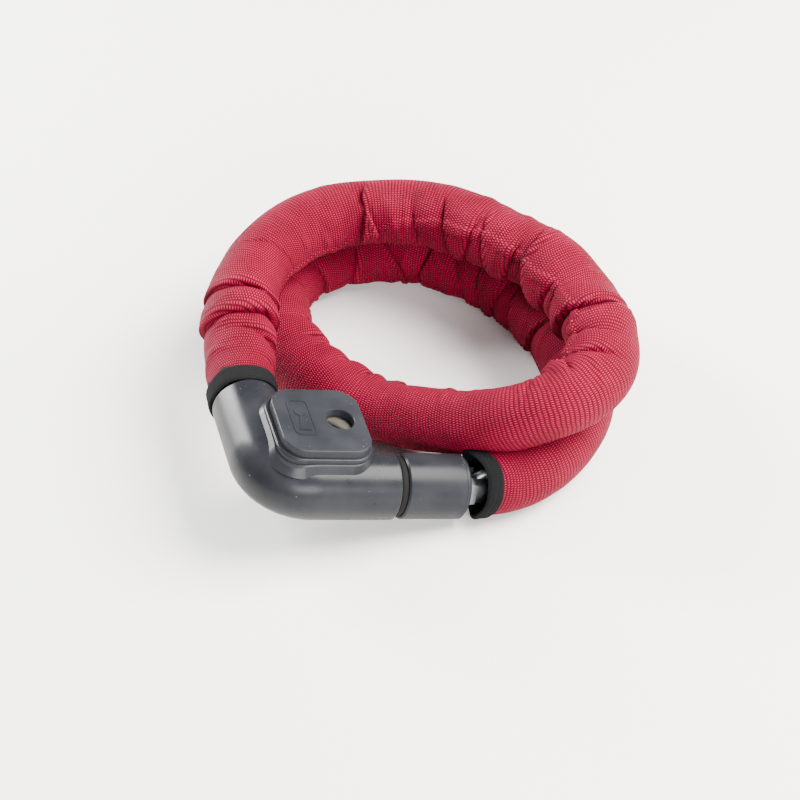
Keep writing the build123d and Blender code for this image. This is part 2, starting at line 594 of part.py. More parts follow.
# ---------------------------------------------------------------- chain
half_straight = (LINK_LENGTH - LINK_WIDTH) / 2
bow_r = LINK_WIDTH / 2
with BuildPart() as link:
    with BuildSketch(Plane.YZ):
        with Locations((bow_r, 0), (-bow_r, 0)):
            Circle(WIRE_R)
    extrude(amount=half_straight, both=True)
    with BuildSketch(Plane.YZ.offset(half_straight)):
        with Locations((bow_r, 0)):
            Circle(WIRE_R)
    revolve(axis=Axis((half_straight, 0, 0), (0, 0, -1)), revolution_arc=180)
    mirror(about=Plane.YZ)


def put_link(plane):
    """A copy of the link, centred on a plane's origin, long along its X and flat across its Z."""
    return link.part.moved(plane.location)


def arc_radii(points):
    """Radius of the arc at each inner point: it takes 0.45 of the shorter run beside that point."""
    corners = [Vector(*point) for point in points]
    radii = []
    for before, corner, after in zip(corners, corners[1:], corners[2:]):
        shorter = min((corner - before).length, (after - corner).length)
        turn = (corner - before).get_angle(after - corner)
        radii.append(0.45 * shorter / math.tan(math.radians(turn / 2)))
    return radii


# End links hang on the housing's pin and the plug's pin.
lock_link_at = LOCK_PIN_AT - LOCK_PIN_R + LINK_INSIDE / 2 - 0.05
lock_link_plane = Plane(origin=(0, lock_link_at, 0), x_dir=(0, 1, 0), z_dir=(1, 0, 0))
tilt = math.radians(PLUG_LINK_TILT)
plug_link_dir = Vector(math.cos(tilt), 0, math.sin(tilt))
plug_link_at = Vector(PLUG_PIN_AT, 0, 0) + plug_link_dir * (LINK_INSIDE / 2 - PLUG_PIN_R - 0.05)
plug_link_plane = Plane(origin=plug_link_at, x_dir=plug_link_dir, z_dir=(0, 1, 0))
for label, plane in (("end_link_lock", lock_link_plane), ("end_link_plug", plug_link_plane)):
    end_link = put_link(plane).moved(LOCK.location)
    end_link.label = label
    export_step(end_link, f"parts/{label}.step")

chain_points = [
    tuple(LOCK.from_local_coords(Vector(0, lock_link_at, 0))),
    *ROUTE[1:-2],
    tuple(LOCK.from_local_coords(plug_link_at)),
]
with BuildLine() as chain_line:
    FilletPolyline(*chain_points, radius=arc_radii(chain_points))
chain_path = chain_line.wires()[0]
link_count = 2 * round(chain_path.length / LINK_PITCH / 2)
step = chain_path.length / link_count
links = []
for number in range(1, link_count):
    before = chain_path.position_at((number - 0.5) * step, position_mode=PositionMode.LENGTH)
    after = chain_path.position_at((number + 0.5) * step, position_mode=PositionMode.LENGTH)
    along = (after - before).normalized()
    side = along.cross(Vector(0, 0, 1)).normalized()
    flat = side.cross(along) if number % 2 else side
    centre = chain_path.position_at(number * step, position_mode=PositionMode.LENGTH)
    links.append(put_link(Plane(origin=centre, x_dir=along, z_dir=flat)))
print(f"chain: {link_count + 1} links, pitch {step:.2f}, path {chain_path.length:.1f}")

# ---------------------------------------------------------------- sleeve and bindings
def middle(a, b):
    """The point half-way between two points."""
    return tuple((p + q) / 2 for p, q in zip(a, b))


def beside(a, b, distance):
    """The point at a distance from a towards b."""
    return tuple(Vector(*a) + (Vector(*b) - Vector(*a)).normalized() * distance)


def tube(points, radii, outer_r):
    """A tube with the sleeve's bore, along straight runs joined by arcs."""
    with BuildPart() as run:
        with BuildLine() as axis:
            if radii:
                FilletPolyline(*points, radius=radii)
            else:
                Line(*points)
        with BuildSketch(Plane(origin=points[0], z_dir=Vector(*points[1]) - Vector(*points[0]))):
            Circle(outer_r)
            Circle(SLEEVE_R - SLEEVE_WALL, mode=Mode.SUBTRACT)
        sweep(path=axis.wires()[0])
    return run.part


radii = arc_radii(ROUTE)
lock_cut = beside(ROUTE[0], ROUTE[1], BINDING_LENGTH)
lock_start = beside(ROUTE[0], ROUTE[1], BINDING_LENGTH + 0.3)
blend_cut = middle(ROUTE[BLEND_RUN - 1], ROUTE[BLEND_RUN])
low_cut = middle(ROUTE[LOW_RUN - 1], ROUTE[LOW_RUN])
plug_cut = beside(ROUTE[-1], ROUTE[-2], BINDING_LENGTH)
runs = {
    "binding_lock_end": ([ROUTE[0], lock_cut], [], SLEEVE_R),
    "sleeve_lock_end": ([lock_start, *ROUTE[1:BLEND_RUN], blend_cut], radii[:BLEND_RUN - 1], SLEEVE_R),
    "sleeve_high_turn": (
        [blend_cut, *ROUTE[BLEND_RUN:LOW_RUN], low_cut], radii[BLEND_RUN - 1:LOW_RUN - 1], SLEEVE_R),
    "sleeve_low_turn": ([low_cut, *ROUTE[LOW_RUN:-1], plug_cut], radii[LOW_RUN - 1:], SLEEVE_R),
    "binding_plug_end": ([plug_cut, ROUTE[-1]], [], SLEEVE_R),
}
for label, (points, corner_radii, outer_r) in runs.items():
    piece = tube(points, corner_radii, outer_r)
    piece.label = label
    export_step(piece, f"parts/{label}.step")
print("sleeve radii:", [round(radius, 1) for radius in radii])
with BuildLine() as sleeve_line:
    FilletPolyline(*ROUTE, radius=radii)
print(f"sleeve length {sleeve_line.wires()[0].length:.1f}")

# The chain is parted near the sleeve's cut: the links whose number is below follow go with the housing.
lock_points = [chain_points[0], *ROUTE[1:BLEND_RUN], blend_cut]
lock_length = sum((Vector(*b) - Vector(*a)).length for a, b in zip(lock_points, lock_points[1:]))
follow = int(lock_length / step) - 1
for label, group in (("chain_lock_end", links[:follow]), ("chain", links[follow:])):
    chain = Compound(children=group)
    chain.label = label
    export_step(chain, f"parts/{label}.step")
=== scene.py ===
import math

import bmesh
import bpy
import mathutils
import numpy as np
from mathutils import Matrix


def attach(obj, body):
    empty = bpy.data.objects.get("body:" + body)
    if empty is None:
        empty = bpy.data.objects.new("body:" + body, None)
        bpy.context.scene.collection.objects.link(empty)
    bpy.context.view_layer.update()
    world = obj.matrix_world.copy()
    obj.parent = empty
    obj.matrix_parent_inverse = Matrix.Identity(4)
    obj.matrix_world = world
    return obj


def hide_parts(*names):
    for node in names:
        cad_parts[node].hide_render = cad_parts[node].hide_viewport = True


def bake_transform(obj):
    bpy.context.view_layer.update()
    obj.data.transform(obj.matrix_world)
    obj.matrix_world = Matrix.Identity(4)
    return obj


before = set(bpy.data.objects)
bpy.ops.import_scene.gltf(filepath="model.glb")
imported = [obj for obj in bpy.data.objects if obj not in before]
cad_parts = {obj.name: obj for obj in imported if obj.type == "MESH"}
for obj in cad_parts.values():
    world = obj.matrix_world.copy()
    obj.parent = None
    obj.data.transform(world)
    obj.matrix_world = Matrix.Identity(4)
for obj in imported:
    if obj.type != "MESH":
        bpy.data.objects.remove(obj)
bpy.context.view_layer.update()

MM = 0.001

# ---------------------------------------------------------------- sizes, in metres
CORNER = np.array((-69.0, -107.5, 42.3)) * MM      # where the axes of the housing's legs meet
# The lock's own axes: E1 along the front leg to the plug, E2 along the rear leg to the sleeve, E3 out of
# the cover plate.
YAW, DROP = math.radians(15.8), math.radians(16.0)
E1 = np.array((math.cos(YAW) * math.cos(DROP), math.sin(YAW) * math.cos(DROP), -math.sin(DROP)))
E2 = np.array((-math.sin(YAW), math.cos(YAW), 0.0))
E3 = np.cross(E1, E2)

# The sleeve's route from the housing to the plug, in millimetres. Its ends are the CAD model's, and most
# of the points between were moved, by up to 6 mm, so it is not the same list.
ROUTE = [
    (-84.8, -51.7, 42.3), (-88.9, -33.4, 42.3), (-91.8, -7.5, 47), (-90.9, 20.5, 51),
    (-84, 48.7, 52), (-64.8, 73.2, 52), (-38.2, 88.2, 52), (-8.5, 92, 52), (21.2, 84.8, 52),
    (46.6, 67.2, 53), (69.2, 44.4, 53), (85.2, 18, 53), (93, -10.8, 54), (94, -37, 55),
    (79.5, -57, 54.3), (57, -65, 50.3), (34.5, -60, 39.2), (13.5, -48.4, 28.6), (-8.5, -38, 19.8),
    (-30.5, -26.5, 16.5), (-51, -7.5, 16.5), (-68, 16.5, 16.5), (-77, 42.5, 16.5),
    (-74.5, 70.5, 16.5), (-57, 92, 16.5), (-30.5, 102.5, 16.5), (-4.5, 103.5, 16.5),
    (21.5, 93.5, 16.5), (45, 77, 16.5), (65, 54.5, 16.5), (79.3, 27, 16.5),
    (86.3, -1.5, 16.5), (84, -29.5, 16.5), (72.6, -52.8, 16.5), (57.6, -69.9, 16.5),
    (42.5, -78.2, 16.5), (26, -81, 16.5),
]
SLEEVE_R = 17.0 * MM
END_R = 16.2 * MM
ROUND = 2 * math.pi * SLEEVE_R
FIRST_PIECE = 0.212        # where the first of the sleeve's two meshes ends
RINGS, SEGMENTS = 1060, 128  # of the sleeve's mesh, along and round it
FOLD_SEED, TAPE_SEED = 20, 7
TANGENT_STEP = 0.004       # how far ahead and behind the centreline's direction is taken
END_TAPER = 0.016          # over this length the sleeve narrows to END_R, and its hem runs out
FOLD_FADE = 0.012          # over this length from each end the folds fade in


# ---------------------------------------------------------------- the sleeve's centreline
def spline_points(name, points):
    """Points in metres of the NURBS spline that follows a route in millimetres, and their arc lengths."""
    curve = bpy.data.curves.new(name, "CURVE")
    curve.dimensions = "3D"
    curve.resolution_u = 24
    spline = curve.splines.new("NURBS")
    spline.points.add(len(points) - 1)
    for control, point in zip(spline.points, points):
        control.co = (*(MM * value for value in point), 1.0)
    spline.order_u = 3
    spline.use_endpoint_u = True
    holder = bpy.data.objects.new(name, curve)
    bpy.context.collection.objects.link(holder)
    bpy.context.view_layer.update()
    mesh = bpy.data.meshes.new_from_object(holder.evaluated_get(bpy.context.evaluated_depsgraph_get()))
    line = np.array([vertex.co for vertex in mesh.vertices])
    bpy.data.objects.remove(holder)
    bpy.data.meshes.remove(mesh)
    steps = np.linalg.norm(np.diff(line, axis=0), axis=1)
    along = np.r_[0, np.cumsum(steps)]
    return line, along


CENTRELINE, MEASURE = spline_points("sleeve_route", ROUTE)     # its points, and their arc lengths
LENGTH = float(MEASURE[-1])


def centre_at(s):
    """Points of the centreline at arc lengths s."""
    return np.stack([np.interp(s, MEASURE, CENTRELINE[:, k]) for k in range(3)], 1)


def frames(s):
    """Centre, tangent, up and side vectors of the centreline at arc lengths s.

    Side points into the coil.
    """
    tangent = centre_at(s + TANGENT_STEP) - centre_at(s - TANGENT_STEP)
    tangent /= np.linalg.norm(tangent, axis=1)[:, None]
    side = np.cross(tangent, (0, 0, 1))
    side /= np.linalg.norm(side, axis=1)[:, None]
    up = np.cross(side, tangent)
    return centre_at(s), tangent, up, side


def tube_faces(rings, segments):
    """Quads joining rings of points into an open tube."""
    ring, seg = np.meshgrid(np.arange(rings - 1), np.arange(segments), indexing="ij")
    here, after = ring * segments, (seg + 1) % segments
    quads = np.stack([here + seg, here + after, here + segments + after, here + segments + seg], -1)
    return quads.reshape(-1, 4)


def mesh_object(name, points, faces):
    """A new object from points and quads, smooth shaded."""
    mesh = bpy.data.meshes.new(name)
    mesh.from_pydata(points.reshape(-1, 3).tolist(), [], faces.tolist())
    mesh.shade_smooth()
    obj = bpy.data.objects.new(name, mesh)
    bpy.context.collection.objects.link(obj)
    return obj


def smoothstep(x):
    """0 below 0, 1 above 1, and a smooth rise between."""
    x = np.clip(x, 0, 1)
    return x * x * (3 - 2 * x)


def turned(angle, turn):
    """The angle as seen from another one, between minus and plus half a turn, in radians."""
    return np.angle(np.exp(1j * (angle - turn)))


# ---------------------------------------------------------------- the sleeve's folds
# Rolled folds, where the cloth of one side stands up and leans over the other. Each has its place
# along the sleeve in mm, the angle of its middle and its half width round the sleeve in degrees
# (0 is up, 90 is into the coil), its slant in mm, its height in mm, and the side it leans to.
ROLLED = [
    (21, 95, 60, 2, 0.7, -1), (36, 80, 62, -3, 2.2, 1), (51, 20, 125, 4, 3.6, 1),
    (67, 20, 125, 1, 3.0, 1), (104, 40, 55, 6, 0.6, 1), (171, 52, 62, -5, 2.6, 1),
    (176, 80, 45, 6, 1.6, -1), (205, 85, 40, 3, 0.8, 1), (226, 70, 60, 7, 1.6, 1),
    (241, 88, 55, -6, 1.8, -1), (256, 78, 62, 8, 2.6, 1), (272, 88, 55, -5, 2.4, -1),
    (283, 10, 45, 6, 1.2, 1), (292, 84, 58, 9, 2.6, 1), (308, 92, 50, -6, 2.0, -1),
    (323, 86, 52, 6, 1.7, 1), (339, 45, 95, -6, 2.8, -1), (349, 5, 80, 5, 1.9, 1),
    (364, 60, 50, -4, 1.3, 1), (383, 40, 65, 7, 1.8, -1), (394, 60, 60, -7, 1.7, 1),
    (408, 85, 45, 3, 1.3, -1), (417, 20, 50, -5, 0.8, 1), (499, 75, 42, 3, 1.3, 1),
    (508, 85, 35, -3, 1.0, -1), (524, 60, 40, 3, 2.2, 1), (545, 80, 40, 5, 1.2, 1),
    (556, 70, 40, -4, 1.3, -1), (567, 65, 40, -4, 2.4, 1), (590, 80, 50, 4, 1.0, 1),
    (620, 85, 55, -5, 1.3, -1), (652, 80, 60, 5, 1.3, 1), (680, 90, 60, -4, 1.8, 1),
    (704, 60, 70, 14, 1.7, -1), (731, 75, 70, -5, 1.9, 1), (752, 70, 60, 8, 1.5, -1),
    (772, 75, 75, 5, 1.9, 1), (786, 70, 60, -6, 1.6, -1), (801, 75, 65, 5, 1.7, 1),
    (826, 70, 60, -5, 1.3, -1), (858, 80, 50, 4, 0.9, 1), (884, 20, 42, 3, 0.7, 1),
]
# Broad dents: place in mm, angle and half width in degrees, reach along the sleeve and depth in mm.
DENTS = [
    (20, 270, 70, 22, 1.2), (145, 325, 60, 38, -1.6), (255, 325, 50, 16, 1.3), (290, 325, 50, 14, -1.4),
    (415, 50, 60, 24, 2.8), (447, 225, 50, 18, -1.7), (460, 45, 50, 28, 2.6), (505, 215, 60, 22, 2.6),
]
SMALL_FOLDS = 150       # random shallow wrinkles
LUMPS = 70              # random swells and dents
PUFF = 0.19             # height of the cloth's swell between two folds, against their distance
PUFF_LIMIT = 3.0 * MM
PUFF_WIDTH = 1.15       # of a swell round the sleeve, against the folds beside it
PUFF_TURN = 60          # degrees round the sleeve where the swells are highest
SMOOTH_GAP = 36 * MM    # folds further apart than this leave the cloth between them flat
CREST, HOLLOW = 0.0065, 0.0040     # how far a fold's crest and the hollow before it run out
HOLLOW_DEPTH = 0.85     # against the fold's height


def puffs(s, angle):
    """How far the cloth swells out between neighbouring rolled folds."""
    place, turn, half, slant = (np.array(column, float) for column in list(zip(*ROLLED))[:4])
    place *= MM
    away = turned(angle, np.radians(np.interp(s, place, turn)))
    warped = s - np.interp(s, place, slant) * MM * np.sin(away)
    number = np.clip(np.searchsorted(place, warped), 1, len(place) - 1)
    gap = place[number] - place[number - 1]
    part = np.clip((warped - place[number - 1]) / gap, 0, 1)
    height = np.minimum(PUFF * gap, PUFF_LIMIT) * np.exp(-((gap / SMOOTH_GAP) ** 6))
    window = np.exp(-((away / np.radians(PUFF_WIDTH * np.interp(s, place, half))) ** 4))
    inner = 0.62 + 0.38 * np.cos(angle - math.radians(PUFF_TURN))
    return height * window * inner * np.sin(math.pi * part) ** 0.7


def fold_profile(d, lean, rise):
    """Height of a rolled fold at distance d across it: a slow climb, then a steep face."""
    d = d * lean
    step = smoothstep((d + rise) / (2 * rise))
    crest = step * np.exp(-np.maximum(d, 0) / CREST)
    return crest - HOLLOW_DEPTH * (1 - step) * np.exp(np.minimum(d, 0) / HOLLOW)


def add_lumps(radius, s, angle, draw):
    """Random broad swells and dents."""
    for _ in range(LUMPS):
        middle, reach = draw.uniform(0.02, LENGTH - 0.02), draw.uniform(0.006, 0.022)
        turn, amount = draw.uniform(0, 2 * math.pi), draw.uniform(-1.25, 1.15) * MM
        facing = (0.5 + 0.5 * np.cos(angle - turn)) ** 2
        radius += amount * np.exp(-((s - middle) / reach) ** 2) * facing


def add_dents(radius, s, angle):
    """The broad dents that have a place of their own."""
    for place, turn, half, reach, depth in DENTS:
        away = turned(angle, math.radians(turn)) / math.radians(half)
        radius -= depth * MM * np.exp(-((s / MM - place) / reach) ** 2 - away ** 2)


def add_small_folds(radius, s, angle, draw):
    """Random shallow wrinkles, most of them on the upper inner side."""
    for _ in range(SMALL_FOLDS):
        middle, reach = draw.uniform(0.015, LENGTH - 0.015), draw.uniform(0.0016, 0.0042)
        turn = math.radians(draw.normal(60, 60))
        width, slant = math.radians(draw.uniform(18, 55)), draw.uniform(-9, 9) * MM
        bend, amount = draw.uniform(-3, 3) * MM, draw.uniform(0.2, 0.95) * MM
        away = turned(angle, turn)
        d = s - middle - slant * away - bend * away * away
        radius += amount * np.exp(-(d / reach) ** 2 - (away / width) ** 2)


def add_rolled_folds(radius, shift, s, angle, draw):
    """The rolled folds, each wandering a little off a straight line round the sleeve."""
    for place, turn, half, slant, height, lean in ROLLED:
        away = turned(angle, math.radians(turn))
        window = np.exp(-(away / math.radians(half)) ** 4 * 1.2)
        wander = draw.uniform(-1, 1, 3) * MM
        d = s - place * MM - slant * MM * np.sin(away) - wander[0] * np.cos(2 * angle)
        d = d - wander[1] * np.sin(3 * angle) - 0.5 * wander[2] * np.sin(5 * angle)
        amount = 1.25 * height * MM * window * (1 + 0.18 * np.sin(3 * away + 4000 * wander[1]))
        radius += 0.8 * amount * fold_profile(d, lean, (0.45 + 0.22 * height) * MM)
        shift -= 0.55 * lean * amount * np.exp(-((d - 0.8 * MM * lean) / (1.3 * MM)) ** 2)


def sleeve_shape(s, angle):
    """Radius of the sleeve's surface, and its shift along the sleeve, for (rings, segments) of angles."""
    draw = np.random.default_rng(FOLD_SEED)
    s = s[:, None]
    from_end = np.minimum(s, LENGTH - s)
    base = END_R + (SLEEVE_R - END_R) * smoothstep(from_end / END_TAPER)
    radius = np.broadcast_to(base, angle.shape).copy()
    shift = np.zeros_like(angle)
    add_lumps(radius, s, angle, draw)
    radius += puffs(s, angle)
    add_dents(radius, s, angle)
    add_small_folds(radius, s, angle, draw)
    add_rolled_folds(radius, shift, s, angle, draw)
    fade = smoothstep(from_end / FOLD_FADE)
    return base + (radius - base) * fade, shift * fade


# The lapped seam's course: places along the sleeve in mm and angles round it in degrees.
SEAM = [
    (0, 112), (80, 106), (150, 102), (185, 74), (215, 54), (262, 50), (310, 46), (345, 42),
    (372, 50), (402, 62), (440, 68), (520, 76), (600, 98), (700, 108), (957, 108),
]
OPEN_HEM = (0.185, 0.405)   # between these places, in metres, the hem stands up and covers its stitches
HEM_STEP, HEM_END, HEM_FALL = 0.9, 4.2, 1.6     # mm round the sleeve: climb, where the fall starts, fall
HEM_HEIGHT, HEM_STAND = 0.85, 0.6               # mm: everywhere, and at most added where it stands up
# The lock's outline in its own frame, in mm.
LEG_R, FRONT_REACH, REAR_REACH = 16.5, 98, 56
PEDESTAL_X, PEDESTAL_Y, PEDESTAL_HALF, PEDESTAL_LOW, PEDESTAL_TOP = 23.5, 19, 24.2, -14, 24.7
LOCK_SKIN = 0.5             # kept free round it


def seam_angle(s):
    """Where the lengthwise seam lies, in radians round the sleeve."""
    place, turn = np.array(SEAM, float).T
    return np.radians(np.interp(s / MM, place, turn) + 3 * np.sin(s * 90) + 2.2 * np.sin(s * 213 + 1))


def open_hem(s):
    """1 along the stretch where the hem stands up, and 0 elsewhere."""
    return smoothstep((s - OPEN_HEM[0]) / 0.02) * smoothstep((OPEN_HEM[1] - s) / 0.02)


def lock_frame(points):
    """Points in the lock's own frame, in metres."""
    return (points - CORNER) @ np.stack([E1, E2, E3], 1)


def inside_lock(points):
    """Which points lie inside the housing, the plug's ferrule or a thin skin round them."""
    x, y, z = np.moveaxis(lock_frame(points) / MM, -1, 0)
    leg = LEG_R + LOCK_SKIN
    half = PEDESTAL_HALF + LOCK_SKIN
    front = (np.hypot(y, z) < leg) & (x > 0) & (x < FRONT_REACH)
    rear = (np.hypot(x, z) < leg) & (y > 0) & (y < REAR_REACH)
    box = (np.abs(x - PEDESTAL_X) < half) & (np.abs(y - PEDESTAL_Y) < half)
    box = box & (z > PEDESTAL_LOW - LOCK_SKIN) & (z < PEDESTAL_TOP + LOCK_SKIN)
    return front | rear | box


END_INSET = 1.2             # mm from each end of the route to the sleeve's first and last ring
SAG = 0.5                   # mm that the sides hang lower
ROWS_AT_ONCE, EVERY_CENTRE = 20, 3      # rings measured in one go, against every third centre
OWN_TURN = 0.09             # centres nearer than this along the sleeve belong to the same turn
TURN_GAP = 0.15             # mm left between a turn and the middle between two turns
HELD_BY_LOCK, HELD_BY_PLUG = 0.055, 0.02        # lengths of sleeve that belong in or on the lock
# Cloth inside the lock is drawn in by this factor, up to so many times, and then evened out with what is
# beside it.
PULL, PULLS, EVENINGS = 0.985, 16, 12
FLOOR_GAP = 0.25            # mm from the floor to the lowest cloth


def seam_hem(s, angle):
    """Height of the lapped seam: a hem 4.5 mm wide that stands up from the cloth under it."""
    round_way = (angle - seam_angle(s)[:, None]) * SLEEVE_R
    fall = 1 - smoothstep((round_way - HEM_END * MM) / (HEM_FALL * MM))
    hem = smoothstep(round_way / (HEM_STEP * MM)) * fall
    rise = (HEM_HEIGHT + HEM_STAND * open_hem(s) * (0.75 + 0.25 * np.sin(s * 400))) * MM
    return hem * (rise * smoothstep(np.minimum(s, LENGTH - s) / END_TAPER))[:, None]


def share_space(s, centre, points):
    """Press turns that lie on each other back to the middle between their centrelines."""
    others = centre[::EVERY_CENTRE]
    for start in range(0, RINGS, ROWS_AT_ONCE):
        rows = slice(start, start + ROWS_AT_ONCE)
        own = centre[rows][:, None]
        gaps = np.linalg.norm(points[rows][:, :, None] - others[None, None], axis=3)
        far = np.abs(s[rows][:, None, None] - s[None, None, ::EVERY_CENTRE]) > OWN_TURN
        gaps = np.where(far, gaps, 1.0)
        between = others[np.argmin(gaps, 2)] - own
        distance = np.linalg.norm(between, axis=2)
        between /= distance[..., None]
        reach = np.einsum("ijk,ijk->ij", points[rows] - own, between)
        excess = np.clip(reach - (distance / 2 - TURN_GAP * MM), 0, None)
        points[rows] -= (excess[..., None] * between)


def clear_of_lock(s, centre, points):
    """The points, drawn in towards the centreline where they would be inside the lock."""
    own = np.broadcast_to(centre[:, None], points.shape)
    held = (s < HELD_BY_LOCK)[:, None] | (s > LENGTH - HELD_BY_PLUG)[:, None]
    kept = np.ones(points.shape[:2])
    for _ in range(PULLS):
        into = inside_lock(own + (points - own) * kept[..., None]) & ~held
        kept[into] *= PULL
    for _ in range(EVENINGS):
        beside = sum(np.roll(kept, way, axis) for way in (1, -1) for axis in (0, 1)) / 4
        kept = np.minimum(kept, beside)
    return own + (points - own) * kept[..., None]


def sleeve_rings():
    """Rings of points of the whole sleeve, each starting at the seam, and their arc lengths."""
    s = np.linspace(END_INSET * MM, LENGTH - END_INSET * MM, RINGS)
    angle = seam_angle(s)[:, None] + 2 * math.pi * np.arange(SEGMENTS)[None] / SEGMENTS
    radius, shift = sleeve_shape(s, angle)
    radius += seam_hem(s, angle)
    centre, tangent, up, side = frames(s)
    out = np.cos(angle)[..., None] * up[:, None] + np.sin(angle)[..., None] * side[:, None]
    points = centre[:, None] + radius[..., None] * out + shift[..., None] * tangent[:, None]
    points[..., 2] -= SAG * MM * (1 - np.abs(out[..., 2]))
    share_space(s, centre, points)
    points = clear_of_lock(s, centre, points)
    points[..., 2] = np.maximum(points[..., 2], FLOOR_GAP * MM)
    return s, points


def add_uv(obj, s, segments):
    """UVs in metres, along a tube's rings at places s and round it."""
    layer = obj.data.uv_layers.new(name="cloth")
    ring, seg = np.meshgrid(np.arange(len(s) - 1), np.arange(segments), indexing="ij")
    u = np.stack([s[ring], s[ring], s[ring + 1], s[ring + 1]], -1)
    v = np.stack([seg, seg + 1, seg + 1, seg], -1) * ROUND / segments
    layer.data.foreach_set("uv", np.stack([u, v], -1).reshape(-1))


STITCH_EVERY = 0.0032
STITCH_FIRST, STITCH_LAST = 0.006, 0.003            # kept free at the start and the end of a piece
STITCH_HALF, STITCH_THICK = 1.05 * MM, 0.27 * MM    # half its length, and half its height
STITCH_STEPS = (-1.0, -0.72, 0.0, 0.72, 1.0)        # places of a stitch's rings along its half length
STITCH_SIDES = 6
STITCH_LIFT = 0.10      # mm above the cloth
HEM_COLUMN = 3          # points of a ring from the seam to the stitches


def stitches(s, points):
    """Points and faces of the seam's stitches: short rounded threads where the hem lies flat."""
    path = points[:, HEM_COLUMN]
    inner = points[:, HEM_COLUMN + 1]
    centre = centre_at(s)
    verts, faces = [], []
    for place in np.arange(STITCH_FIRST, s[-1] - s[0] - STITCH_LAST, STITCH_EVERY) + s[0]:
        if OPEN_HEM[0] < place < OPEN_HEM[1]:
            continue
        row = int(np.searchsorted(s, place))
        ahead = path[min(row + 1, len(s) - 1)] - path[row - 1]
        ahead /= np.linalg.norm(ahead)
        outward = path[row] - centre[row]
        outward -= ahead * (outward @ ahead)
        outward /= np.linalg.norm(outward)
        across = np.cross(ahead, outward)
        first = len(verts)
        for t in STITCH_STEPS:
            size = STITCH_THICK * math.sqrt(max(1 - t ** 4, 0.03))
            middle = path[row] * 0.5 + inner[row] * 0.5 + ahead * STITCH_HALF * t
            middle = middle + outward * STITCH_LIFT * MM
            for k in range(STITCH_SIDES):
                a = 2 * math.pi * k / STITCH_SIDES
                verts.append(middle + size * (math.cos(a) * across * 1.3 + math.sin(a) * outward))
        last = first + STITCH_SIDES * (len(STITCH_STEPS) - 1)
        for ring in range(first, last, STITCH_SIDES):
            for k in range(STITCH_SIDES):
                a, b = ring + k, ring + (k + 1) % STITCH_SIDES
                faces.append((a, b, b + STITCH_SIDES, a + STITCH_SIDES))
        faces.append(tuple(first + k for k in reversed(range(STITCH_SIDES))))
        faces.append(tuple(last + k for k in range(STITCH_SIDES)))
    return verts, faces


s_rings, sleeve_points = sleeve_rings()
cut = int(np.searchsorted(s_rings, FIRST_PIECE))


# ---------------------------------------------------------------- node materials
class Shader:
    """A material with a Principled shader and a few helpers for its nodes."""

    def __init__(self, name, colour, roughness, metallic=0.0, **values):
        self.material = bpy.data.materials.new(name)
        self.material.use_nodes = True
        self.tree = self.material.node_tree
        self.bsdf = self.tree.nodes["Principled BSDF"]
        self.bsdf.inputs["Base Color"].default_value = (*colour, 1)
        self.bsdf.inputs["Roughness"].default_value = roughness
        self.bsdf.inputs["Metallic"].default_value = metallic
        for socket, value in values.items():
            self.bsdf.inputs[socket.replace("_", " ")].default_value = value

    def node(self, kind, **settings):
        made = self.tree.nodes.new(kind)
        for key, value in settings.items():
            if key[0] == "_":
                made.inputs[key[1:].replace("_", " ")].default_value = value
            else:
                setattr(made, key, value)
        return made

    def link(self, source, target):
        self.tree.links.new(source, target)

    def math(self, operation, first, second=0.0, third=0.0):
        made = self.node("ShaderNodeMath", operation=operation)
        for socket, value in zip(made.inputs, (first, second, third)):
            if isinstance(value, (int, float)):
                socket.default_value = value
            else:
                self.link(value, socket)
        return made.outputs[0]

    def noise(self, scale, detail=2.0):
        """Noise over the object's own coordinates, about 0.3 to 0.7."""
        place = self.node("ShaderNodeTexCoord").outputs["Object"]
        made = self.node("ShaderNodeTexNoise", _Scale=scale, _Detail=detail)
        self.link(place, made.inputs["Vector"])
        return made.outputs["Fac"]

    def ramp(self, value, low, high, start=0.0, end=1.0):
        """The value taken from start..end to low..high, clamped."""
        made = self.node("ShaderNodeMapRange")
        self.link(value, made.inputs["Value"])
        for socket, number in zip(("From Min", "From Max", "To Min", "To Max"), (start, end, low, high)):
            made.inputs[socket].default_value = number
        return made.outputs["Result"]

    def colours(self, factor, first, second):
        made = self.node("ShaderNodeMix", data_type="RGBA")
        self.link(factor, made.inputs["Factor"])
        for socket, colour in ((made.inputs[6], first), (made.inputs[7], second)):
            if isinstance(colour, tuple):
                socket.default_value = (*colour, 1)
            else:
                self.link(colour, socket)
        return made.outputs[2]

    def base(self, source):
        self.link(source, self.bsdf.inputs["Base Color"])

    def rough(self, source):
        self.link(source, self.bsdf.inputs["Roughness"])

    def bump(self, height, distance, strength=1.0):
        made = self.node("ShaderNodeBump", _Distance=distance, _Strength=strength)
        self.link(height, made.inputs["Height"])
        self.link(made.outputs[0], self.bsdf.inputs["Normal"])


def plastic(name, colour, roughness, specks=0.5, shine=0.14):
    """Moulded plastic: satin, faintly uneven, with a few dust specks."""
    made = Shader(name, colour, roughness, Specular_IOR_Level=shine)
    cloudy = made.noise(60.0, 3.0)
    fine = made.noise(1400.0, 1.0)
    lighter = tuple(1.35 * value + 0.004 for value in colour)
    shade = made.colours(made.ramp(cloudy, 0.0, 1.0, 0.3, 0.7), colour, lighter)
    dust = made.ramp(made.noise(800.0, 0.0), 0.0, specks, 0.845, 0.88)
    made.base(made.colours(dust, shade, (0.16, 0.16, 0.17)))
    made.rough(made.ramp(cloudy, roughness - 0.05, roughness + 0.07, 0.3, 0.7))
    made.bump(fine, 0.00002, 0.6)
    return made.material


